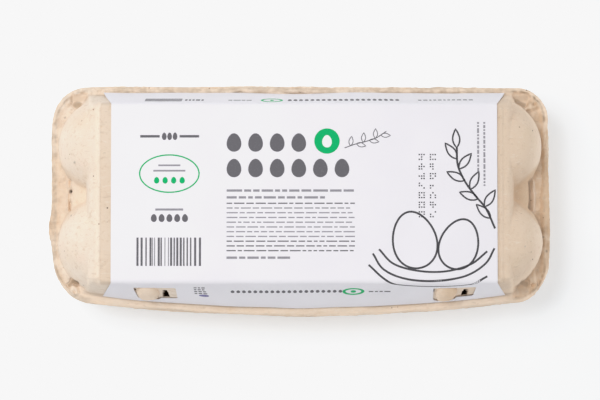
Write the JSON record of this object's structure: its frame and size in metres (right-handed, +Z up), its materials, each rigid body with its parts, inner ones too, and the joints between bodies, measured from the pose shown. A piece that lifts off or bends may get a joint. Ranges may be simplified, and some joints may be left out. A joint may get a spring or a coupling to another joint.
{
  "type": "egg carton",
  "caption": "Shut moulded-pulp egg carton with egg-cup tray, latched domed lid and a folded paper label over it, to hold and carry eggs.",
  "frame": {"origin": "middle of the footprint, on the surface that the carton stands on", "axes": "+X along the carton to the right as seen from the front, -Y towards the front with the two locks, +Z up"},
  "size_m": [0.248, 0.1146, 0.068],
  "materials": {
    "pulp": "rough",
    "paper": "satin"
  },
  "bodies": {
    "root": {"carton": "pulp", "label": "paper"}
  },
  "joints": []
}
